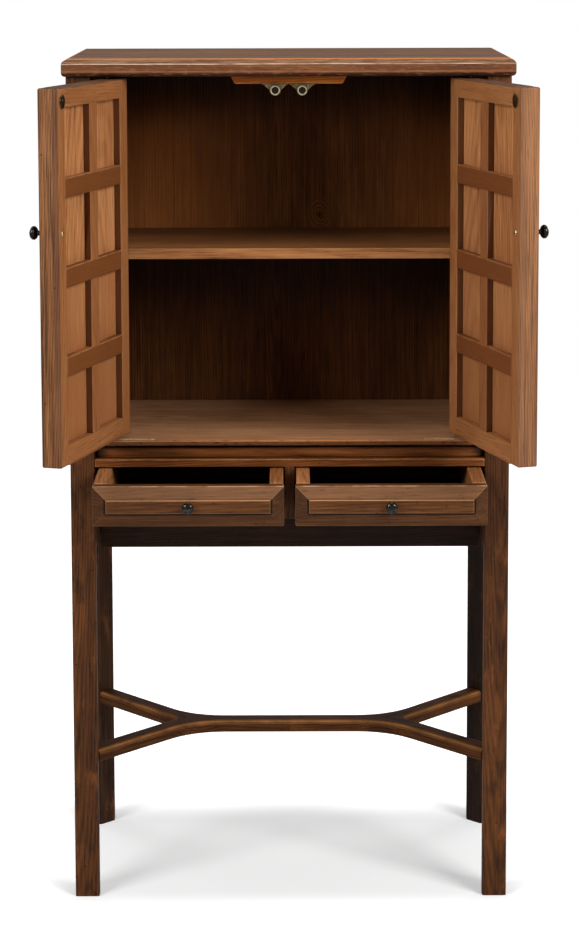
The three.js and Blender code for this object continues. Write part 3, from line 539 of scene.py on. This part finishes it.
normal = recipe.mix(out.near(scarf_x, scarf_reach), normal, flat_normal)
upward = recipe.facet()[2]
upper_round = upward.between(0.1, 0.5) * (1 - upward.between(0.93, 0.99))
rubbing = recipe.noise(place, (26, 26, 26), 3) * 1.2 - 0.1
colour = recipe.mix(upper_round * rubbing, colour, rubbed_honey)
pitted = (1 - recipe.noise(place, (190, 190, 190), 2, 0.6).between(0.27, 0.34)) * 0.8
colour = recipe.mix(pitted, colour, walnut.glaze)
# Painted shade on the flat top, under the case.
colour = recipe.mix(upward.between(0.97, 0.99) * 0.35, colour, walnut.glaze)
stretcher_wood = wooden(recipe, colour, roughness, normal, shine=0.06)
dress("stretcher_bar", stretcher_wood)
for end in ("front", "rear"):
    for side in ("left", "right"):
        dress(f"stretcher_arm_{end}_{side}", stretcher_wood)

# Pull-out shelf. A solid board that slides out between the cabinet floor and the drawer rail, polished like
# the rail, with its front arrises well rounded by use.
shelf_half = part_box("pull_out_shelf")[1].x
end_dark = srgb(26, 14, 8)


def dark_ended(recipe, place, colour):
    """Painted shade at both ends of the board, where it sits in the shade of the posts."""
    x = recipe.parts(place)[0]
    wander = (recipe.noise(place, (40, 40, 40), 2) - 0.5) * 0.02
    end = (abs(x) + wander).between(shelf_half - 0.026, shelf_half - 0.004)
    return recipe.mix(end * 0.8, colour, end_dark)


board("pull_out_shelf", "X", amber, ease=0.005, extra=dark_ended, wear=0.3)

# Drawers. A front with a bevel round its raised field, on two thick sides, a back and a bottom in grooves.
# The front is stained and glazed like the case, the sides are left honey brown, and the rest is dark.
drawer_side_tones = toned((50, 25, 11), (118, 72, 38), (150, 96, 55), (176, 118, 73), (206, 148, 100))
drawer_tones = toned((20, 11, 6), (63, 35, 15), (87, 51, 24), (111, 69, 34), (198, 146, 100))
field_step = 0.0025
foot_reach = 0.0012
mitre_half = 0.0009
drawer_face_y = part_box("drawer_front_left")[0].y
drawer_middle = middle_of("drawer_front_right")
drawer_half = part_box("drawer_front_right")[1] - drawer_middle
lit_bevel_colour = srgb(168, 124, 90)
rim_highlight = srgb(208, 178, 154)
field_highlight = srgb(220, 168, 120)


def bevel_glaze_and_light(recipe, place, colour):
    """Painted light on the upper bevel and painted shade under the lower one, the end bevels darker, glaze
    thick round the raised field, painted highlights on the upper rim and the field's top arris.
    """
    x, y, z = recipe.parts(place)
    depth = y - drawer_face_y
    side_x, _, up = recipe.facet()
    sloped = 1 - (abs(side_x).math("MAXIMUM", abs(up)) > 0.9)
    rises = up.between(0.1, 0.3)
    fleck = recipe.noise(place, (30, 200, 200), 3, 0.7)
    # Painted light on the upward bevel.
    colour = recipe.mix(rises * sloped * 0.24, colour, lit_bevel_colour)
    colour = recipe.mix(fleck.between(0.57, 0.68) * sloped * 0.5, colour, drawer_tones.dark)
    # Painted shade on the downward bevel.
    colour = recipe.mix((up * -1).between(0.1, 0.3) * 0.35, colour, drawer_tones.glaze)
    # The end bevels darker.
    colour = recipe.mix(abs(side_x).between(0.1, 0.3) * 0.4, colour, drawer_tones.glaze)
    foot = (depth > field_step) * (depth < field_step + foot_reach) * (1 - rises * 0.75)
    colour = recipe.mix(foot * 0.9, colour, drawer_tones.glaze)
    from_end = drawer_half.x - abs(abs(x) - drawer_middle.x)
    from_edge = drawer_half.z - abs(z - drawer_middle.z)
    mitre = (from_end - from_edge).near(0, mitre_half) * sloped * (up > 0)
    colour = recipe.mix(mitre * 0.2, colour, drawer_tones.worn)
    broken = recipe.noise(place, (30, 30, 30), 3, 0.6).between(0.35, 0.6)
    # A painted highlight along the upper rim.
    rim = sloped * (up > 0.1) * (1 - from_edge.between(0.0008, 0.0018)) * broken
    colour = recipe.mix(rim * 0.5, colour, rim_highlight)
    # A painted highlight on the field's upward arris.
    return recipe.mix((up > 0.9) * (depth < field_step + 0.0002), colour, field_highlight)


for side in ("left", "right"):
    board(f"drawer_front_{side}", "X", drawer_tones, ease=0.0012, extra=bevel_glaze_and_light, wear=0.45,
          figure=0.12, streaks=0.15)
    for wall in ("left", "right"):
        board(f"{side}_drawer_{wall}_side", "Y", drawer_side_tones, pits=0.2)
    board(f"drawer_back_{side}", "X", walnut, pits=0.2)
    board(f"drawer_bottom_{side}", "X", walnut, ease=0, pits=0.2)

# Doors. Two stiles, rails and a grating of bars round eight panels. Outside and on its edges a door is
# stained like the case; its inner face is honey brown, with darker cross rails and painted shade on the sides
# of the stiles and bars. A place on a door is measured as when it is shut: from the hinge stile's edge, in
# depth and up.
door_angle = math.radians(106)
pivot_aside = 0.031
pivot_behind = 0.009
pivot_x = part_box("front_right_post")[0].x - pivot_aside
pivot_y = post_front_y + pivot_behind
hinge_reach = 0.027
face_y = -0.008
door_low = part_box("hinge_stile_right")[0].z
door_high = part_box("hinge_stile_right")[1].z
door_wide = 0.3635
door_thick = 0.037
bar_high = 0.035
stile_wide = 0.038
panel_rows = 4
light_high = (door_high - door_low - (panel_rows + 1) * bar_high) / panel_rows
row_rise = bar_high + light_high
stained_margin = 0.0022
face_skin = 0.0016
panel_knot_from_hinge = 0.302
panel_knot_z = 1.512
honey = toned((60, 30, 14), (140, 86, 49), (178, 119, 73), (204, 144, 94), (224, 166, 112))
honey_rail = toned((30, 15, 7), (76, 40, 17), (98, 54, 24), (121, 71, 34), (204, 142, 90))
door_walnut = toned((26, 14, 8), (84, 50, 28), (118, 75, 44), (146, 98, 61), (196, 132, 80))
frame_honey = {"left": srgb(124, 74, 38), "right": srgb(132, 80, 43)}
bar_stain_share = {"left": 0.12, "right": 0.3}
edge_shade_share = {"left": 0.5, "right": 0.35}
bar_stain = srgb(100, 50, 26)
knot_and_shade_brown = srgb(66, 32, 14)
edge_shade_colour = srgb(74, 48, 38)
right_stile_lighter = srgb(172, 126, 94)


def shut_place(recipe, mirror):
    """The place on an open door, turned back to where it is when the door is shut, from the pivot."""
    mapping = recipe.node("ShaderNodeMapping", {"vector_type": "TEXTURE"},
                          {"Vector": recipe.place(), "Location": (mirror * pivot_x, pivot_y, 0),
                           "Rotation": (0, 0, mirror * door_angle)})
    return mapping.outputs[0]


def panel_log(recipe, log, from_hinge, z, mirror):
    """Gives each of the eight panels its own piece of the log."""
    row = ((z - door_low - bar_high / 2) / row_rise).math("FLOOR")
    column = from_hinge > door_wide / 2
    part = row * 2 + column
    log_shift_and_light_pool = recipe.joined((part * 2.4).math("SINE") * 0.05 - mirror * column * 0.08,
                          (part * 1.7).math("SINE") * 0.02, part * 1.3)
    return recipe.vector("ADD", log, log_shift_and_light_pool)


def railed(recipe, place, within, bars, rail, depth, z):
    """The darker cross rails of a grating, with a painted highlight along the upper arris and painted shade
    along the lower one.
    """
    within = recipe.mix(rail, within, bars)
    phase = (z - door_low).math("MODULO", row_rise)
    face = depth > door_thick - face_skin
    ragged = recipe.noise(place, (40, 40, 40), 3, 0.6).between(0.3, 0.6)
    upper = phase.near(bar_high - 0.0006, face_skin) * face * rail * ragged
    lower = phase.near(0.0014, face_skin) * face * rail
    within = recipe.mix(upper * 0.6, within, honey.worn)
    return recipe.mix(lower * 0.45, within, honey_rail.glaze)


def panelled(recipe, within, from_hinge, z, side):
    """Panels darkened with painted shade low on the door, with a small knot in one of the left door's."""
    within = recipe.mix((1 - z.between(0.95, 1.42)) * 0.7, within, honey.dark)
    if side == "left":
        off_x = from_hinge - panel_knot_from_hinge
        off_z = z - panel_knot_z
        knot = length_of(off_x * 1.4 + off_z, off_x * 2.6 - off_z * 1.6)
        within = recipe.mix((1 - knot.between(0.003, 0.009)) * 0.75, within, knot_and_shade_brown)
    return within


def door_piece(name, grain, side, **looks):
    mirror = -1 if side == "left" else 1
    node = f"{name}_{side}"
    grating = name.endswith("grating")
    recipe = material_recipe(node)
    place = shut_place(recipe, mirror)
    x, y, z = recipe.parts(place)
    from_hinge = hinge_reach - x * mirror
    depth = y - face_y
    inner = ((depth > door_thick / 2)
             * (from_hinge > stained_margin) * (from_hinge < door_wide - stained_margin)
             * (z > door_low + stained_margin) * (z < door_high - stained_margin))
    board_x = {"hinge_stile": stile_wide / 2, "meeting_stile": door_wide - stile_wide / 2}
    board_z = {"bottom_rail": door_low + bar_high / 2, "top_rail": door_high - bar_high / 2}
    middle = (mirror * (hinge_reach - board_x.get(name, door_wide / 2)), face_y + door_thick / 2,
              board_z.get(name, (door_low + door_high) / 2))
    seed = next(seeds)
    log = log_of(recipe, place, middle, grain)
    if grating:
        rail = sum(z.near(door_low + row_rise * row + bar_high / 2, bar_high / 2)
                   for row in range(1, panel_rows))
        log = recipe.mix(rail, log, log_of(recipe, place, middle, "X"))
    elif name == "door_panel":
        log = panel_log(recipe, log, from_hinge, z, mirror)
    outside, roughness, normal = stained_wood(recipe, log, seed, door_walnut, **looks)
    within, _, _ = stained_wood(recipe, log, seed, honey, wear=0.8, pits=0.15, streaks=0.1, figure=0.11)
    if grating:
        bars, _, _ = stained_wood(recipe, log, seed, honey_rail, wear=0.8, pits=0.1, streaks=0.12,
                                  figure=0.15)
        within = railed(recipe, place, within, bars, rail, depth, z)
    if name == "door_panel":
        within = panelled(recipe, within, from_hinge, z, side)
    else:
        within = recipe.mix(0.62, within, frame_honey[side])
        if grating:
            within = recipe.mix(bar_stain_share[side], within, bar_stain)
        # Painted shade on the inner sides of the stiles and bars; faces that look up stay lit.
        flank = (depth < door_thick - face_skin) * (1 - recipe.facet()[2].between(0.4, 0.6))
        within = recipe.mix(flank * 0.8, within, knot_and_shade_brown)
    # Painted shade on the door's top face, under the top board.
    outside = recipe.mix((z > door_high - edge_skin) * 0.6, outside, door_walnut.glaze)
    # Painted shade along the free edge, nearest the inner face.
    free_edge = (from_hinge > door_wide - stained_margin) * (depth / door_thick).between(0.6, 0.9)
    outside = recipe.mix(free_edge * edge_shade_share[side], outside, edge_shade_colour)
    # The right meeting stile's outside is made a little lighter.
    if name == "meeting_stile" and side == "right":
        outside = recipe.mix(0.16, outside, right_stile_lighter)
    dress(node, wooden(recipe, recipe.mix(inner, outside, within), roughness, normal))
    if grating or name == "door_panel":
        eased(node, 0.0012)
    else:
        eased(node, 0.003 if name == "meeting_stile" else 0.002, 3)


for side in ("left", "right"):
    door_piece("hinge_stile", "Z", side)
    door_piece("meeting_stile", "Z", side, streaks=0.55, wear=0.35)
    door_piece("bottom_rail", "X", side)
    door_piece("top_rail", "X", side)
    door_piece("door_panel", "Z", side)
    door_piece("inner_grating", "Z", side)
    door_piece("outer_grating", "Z", side)

# Metalwork. Aged brass lower pivots and dark upper ones, brass catches bent under a small oak block, dark
# bronze strikes, and turned knobs of blackened bronze whose bolts show a brass end inside each door.
cup_below_block = 0.012
cup_axis_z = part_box("catch_block")[0].z - cup_below_block
cup_mouth_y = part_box("magnet_catch_left")[0].y
cup_length = 0.0088
catch_x = middle_of("magnet_catch_right").x
groove_radians_per_metre = 3600
plate_brown = srgb(84, 67, 40)
cup_shade = srgb(34, 28, 20)


def metal(name, colour, dull, roughness, inside=None, knurled=False, metallic=1.0):
    """Tarnished metal: inside is (mirror, colour) for the part of a bolt that shows inside a door."""
    recipe = material_recipe(name)
    place = recipe.place()
    tarnish = recipe.noise(place, (160, 160, 160), 4, 0.6).between(0.35, 0.7)
    shade = recipe.mix(tarnish, colour, dull)
    height = tarnish * 0.3
    smoothing = 0.0025
    relief = 0.00004
    if inside:
        mirror, bright = inside
        depth = recipe.parts(shut_place(recipe, mirror))[1] - face_y
        shade = recipe.mix(depth > door_thick - 0.001, shade, bright)
    if knurled:
        # The pressed plate is crossed with fine grooves; the turned cup in front of it is smooth and bright
        smoothing = 0.0006
        relief = 0.0003
        x, y, z = recipe.parts(place)
        plate = y > cup_mouth_y + cup_length
        rising = ((x + z) * groove_radians_per_metre).math("SINE")
        groove = rising.math("MAXIMUM", ((x - z) * groove_radians_per_metre).math("SINE"))
        height = height - groove * plate
        hub = length_of(abs(x) - catch_x, z - cup_axis_z)
        # Painted shade inside the cup's bore and on its rounded outer corner.
        rim = (1 - hub.between(0.0066, 0.0069)).math("MAXIMUM", hub.between(0.0087, 0.0092) * 0.85)
        shade = recipe.mix(plate * (groove * 0.12 + 0.84), shade, plate_brown)
        shade = recipe.mix(rim * (1 - plate), shade, cup_shade)
    rounded = recipe.node("ShaderNodeBevel", {"samples": 8}, {"Radius": smoothing}).outputs[0]
    bump = recipe.node("ShaderNodeBump", None,
                       {"Strength": 0.4, "Distance": relief, "Height": height, "Normal": rounded})
    shader = recipe.node("ShaderNodeBsdfPrincipled", None,
                         {"Base Color": shade, "Metallic": metallic, "Normal": bump.outputs[0],
                          "Roughness": tarnish * 0.14 + roughness})
    return recipe.finish(shader.outputs[0])


brass = srgb(214, 178, 112)
aged_brass = metal("aged_brass", srgb(240, 214, 162), srgb(190, 158, 108), 0.4, metallic=0.3)
catch_brass = metal("catch_brass", srgb(246, 228, 190), srgb(178, 150, 102), 0.3, knurled=True)
blackened = (srgb(56, 53, 48), srgb(22, 20, 18))
dark_bronze = metal("dark_bronze", srgb(70, 68, 64), srgb(36, 34, 32), 0.05)
strike_bronze = metal("strike_bronze", srgb(132, 106, 62), srgb(58, 44, 26), 0.28)
block_tones = toned((60, 28, 10), (150, 80, 30), (188, 106, 42), (216, 130, 56), (224, 158, 92))
board("catch_block", "X", block_tones, ease=0.0015, streaks=0.1, wear=0.8)
for side, mirror in (("left", -1), ("right", 1)):
    dress(f"lower_pivot_{side}", aged_brass)
    dress(f"upper_pivot_{side}", dark_bronze)
    dress(f"magnet_catch_{side}", catch_brass)
    dress(f"strike_{side}", strike_bronze)
    dress(f"door_knob_{side}", metal(f"door_knob_{side}", *blackened, 0.2, (mirror, brass)))
    dress(f"drawer_knob_{side}", dark_bronze)


# Magnets. A dull black ferrite disc, its edge slightly rounded, pressed into the mouth of each catch's
# brass cup a little below the rim.
def made(name, shape, material):
    """A finished shape as an object at the origin, with its material."""
    mesh = bpy.data.meshes.new(name)
    shape.to_mesh(mesh)
    shape.free()
    mesh.materials.append(material)
    piece = bpy.data.objects.new(name, mesh)
    bpy.context.collection.objects.link(piece)
    return piece


magnet_radius = 0.0058
magnet_thick = 0.0018
magnet_round = 0.0003
cup_mouth_depth = 0.0025
recipe = material_recipe("ferrite")
speckle = recipe.noise(recipe.place(), (900, 900, 900), 3, 0.6)
shader = recipe.node("ShaderNodeBsdfPrincipled", None,
                     {"Base Color": recipe.mix(speckle.between(0.35, 0.7), srgb(9, 8, 7), srgb(22, 20, 18)),
                      "Roughness": speckle * 0.2 + 0.35, "Specular IOR Level": 0.2})
ferrite = recipe.finish(shader.outputs[0])
for side in ("left", "right"):
    low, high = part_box(f"magnet_catch_{side}")
    shape = bmesh.new()
    bmesh.ops.create_cone(shape, cap_ends=True, segments=32, radius1=magnet_radius, radius2=magnet_radius,
                          depth=magnet_thick)
    rim = [edge for edge in shape.edges if abs(edge.verts[0].co.z - edge.verts[1].co.z) < 1e-6]
    bmesh.ops.bevel(shape, geom=rim, affect="EDGES", offset=magnet_round, segments=2, profile=0.5,
                    material=-1)
    bmesh.ops.rotate(shape, verts=shape.verts, matrix=Matrix.Rotation(math.pi / 2, 3, "X"))
    seat_y = low.y + cup_mouth_depth - magnet_thick / 2
    bmesh.ops.translate(shape, verts=shape.verts, vec=((low.x + high.x) / 2, seat_y, cup_axis_z))
    magnet = made(f"magnet_{side}", shape, ferrite)
    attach(magnet, "frame")


# Bolt heads and screws. A domed brass head closes each door bolt on the inside of its stile, and slotted
# brass screws, countersunk, hold the lower pivot plates to the cabinet floor.
def whole(shape):
    return shape.verts[:] + shape.edges[:] + shape.faces[:]


def close_open_rim(shape):
    bmesh.ops.holes_fill(shape, edges=[edge for edge in shape.edges if edge.is_boundary], sides=0)


bright_brass = metal("bright_brass", srgb(226, 204, 164), srgb(130, 102, 62), 0.28)
dome_radius = 0.0052
dome_rise = 0.0026
dome_gap = 0.0002
bolt_inset = 0.019
knob_low, knob_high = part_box("door_knob_right")
bolt_z = (knob_low.z + knob_high.z) / 2
for side, mirror in (("left", -1), ("right", 1)):
    shape = bmesh.new()
    bmesh.ops.create_uvsphere(shape, u_segments=24, v_segments=12, radius=1)
    bmesh.ops.bisect_plane(shape, geom=whole(shape), plane_co=(0, 0, 0), plane_no=(0, 0, 1),
                           clear_inner=True)
    close_open_rim(shape)
    bmesh.ops.scale(shape, verts=shape.verts, vec=(dome_radius, dome_radius, dome_rise))
    bmesh.ops.rotate(shape, verts=shape.verts, matrix=Matrix.Rotation(-math.pi / 2, 3, "X"))
    seat = (mirror * (hinge_reach - (door_wide - bolt_inset)), face_y + door_thick + dome_gap, bolt_z)
    bmesh.ops.translate(shape, verts=shape.verts, vec=seat)
    bmesh.ops.rotate(shape, verts=shape.verts, matrix=Matrix.Rotation(mirror * door_angle, 3, "Z"))
    bmesh.ops.translate(shape, verts=shape.verts, vec=(mirror * pivot_x, pivot_y, 0))
    bmesh.ops.recalc_face_normals(shape, faces=shape.faces)
    for face in shape.faces:
        face.smooth = True
    head = made(f"bolt_head_{side}", shape, bright_brass)
    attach(head, f"door_{side}")

screw_radius = 0.0032
screw_foot_share = 0.8
screw_height = 0.0005
slot_half = 0.0004
screw_places = {"inner": 0.265, "outer": 0.313}
turn_per_metre = 9
plate_top = floor_high.z
for side, mirror in (("left", -1), ("right", 1)):
    low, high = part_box(f"lower_pivot_{side}")
    for row, from_middle in screw_places.items():
        shape = bmesh.new()
        bmesh.ops.create_cone(shape, cap_ends=True, segments=24, radius1=screw_radius,
                              radius2=screw_radius * screw_foot_share, depth=screw_height)
        bmesh.ops.bisect_plane(shape, geom=whole(shape), plane_co=(slot_half, 0, 0), plane_no=(1, 0, 0),
                               clear_inner=True)
        close_open_rim(shape)
        bmesh.ops.mirror(shape, geom=whole(shape), merge_dist=-1, axis="X")
        slot_turn = mirror + from_middle * turn_per_metre
        bmesh.ops.rotate(shape, verts=shape.verts, matrix=Matrix.Rotation(slot_turn, 3, "Z"))
        seat = (mirror * from_middle, (low.y + high.y) / 2, plate_top + screw_height / 2)
        bmesh.ops.translate(shape, verts=shape.verts, vec=seat)
        bmesh.ops.recalc_face_normals(shape, faces=shape.faces)
        screw = made(f"pivot_screw_{row}_{side}", shape, bright_brass)
        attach(screw, "frame")

# Studio. A white floor that keeps a soft shadow, a white surround, and soft lamps on both sides, in front
# and behind, with one overhead. The camera sees the floor glow, so it stays white away from the cabinet.
floor_radius = 6.0
near_glow = 0.24
far_glow = 0.6
footprint_back = 0.16
footprint_y = (cad_low.y + cad_high.y) / 2 + footprint_back
white = (1, 1, 1, 1)
black = (0, 0, 0, 1)
recipe = material_recipe("studio_floor")
seen = Value(recipe, recipe.node("ShaderNodeLightPath").outputs["Is Camera Ray"])
matt = recipe.node("ShaderNodeBsdfDiffuse", None, {"Color": (0.8, 0.8, 0.8, 1)})
side_x, side_y, _ = recipe.parts(recipe.vector("ADD", recipe.place(), (0, -footprint_y, 0)))
beyond = abs(side_x).between(0.38, 0.56).math("MAXIMUM", abs(side_y).between(0.2, 0.4))
glow_share = seen * (beyond * far_glow + near_glow)
glow = recipe.node("ShaderNodeEmission", None,
                   {"Color": recipe.mix(glow_share, black, white), "Strength": 1.0})
both = recipe.node("ShaderNodeAddShader", None, {0: matt.outputs[0], 1: glow.outputs[0]})
floor_white = recipe.finish(both.outputs[0])
shape = bmesh.new()
bmesh.ops.create_circle(shape, cap_ends=True, segments=64, radius=floor_radius)
studio_floor = made("studio_floor", shape, floor_white)
studio_floor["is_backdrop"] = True

surround_light = 0.13
mirrored_share = 0.3
world = bpy.data.worlds.new("surround")
bpy.context.scene.world = world
recipe = Recipe(world)
paths = recipe.node("ShaderNodeLightPath").outputs
seen_white = Value(recipe, paths["Is Camera Ray"]).math("MAXIMUM", paths["Is Transmission Ray"])
lit = Value(recipe, paths["Is Glossy Ray"]) * mirrored_share + seen_white
strength = recipe.node("ShaderNodeMapRange", None, {"Value": lit, "To Min": surround_light, "To Max": 1.0})
background = recipe.node("ShaderNodeBackground", None, {"Color": white, "Strength": strength.outputs[0]})
recipe.finish(background.outputs[0], "ShaderNodeOutputWorld")


def lamp(name, place, aim, size, power):
    data = bpy.data.lights.new(name, "AREA")
    data.shape = "SQUARE"
    data.size = size
    data.energy = power
    light = bpy.data.objects.new(name, data)
    light.location = place
    light.rotation_euler = (Vector(place) - Vector(aim)).to_track_quat("Z", "Y").to_euler()
    bpy.context.collection.objects.link(light)


lamp_aside = 2.7
front_watts = {"left": 104, "right": 152}
rear_watts = 18
overhead_watts = 38
for side, mirror in (("left", -1), ("right", 1)):
    lamp(f"{side}_lamp", (mirror * lamp_aside, -2.9, 2.9), (0, 0, 1.0), 1.8, front_watts[side])
    lamp(f"rear_{side}_lamp", (mirror * lamp_aside, 2.8, 2.0), (0, 0, 0.9), 1.3, rear_watts)
lamp("overhead_lamp", (0, -0.1, 3.9), (0, 0, 1.0), 1.6, overhead_watts)

bpy.context.scene.view_settings.view_transform = "Standard"

low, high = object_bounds()
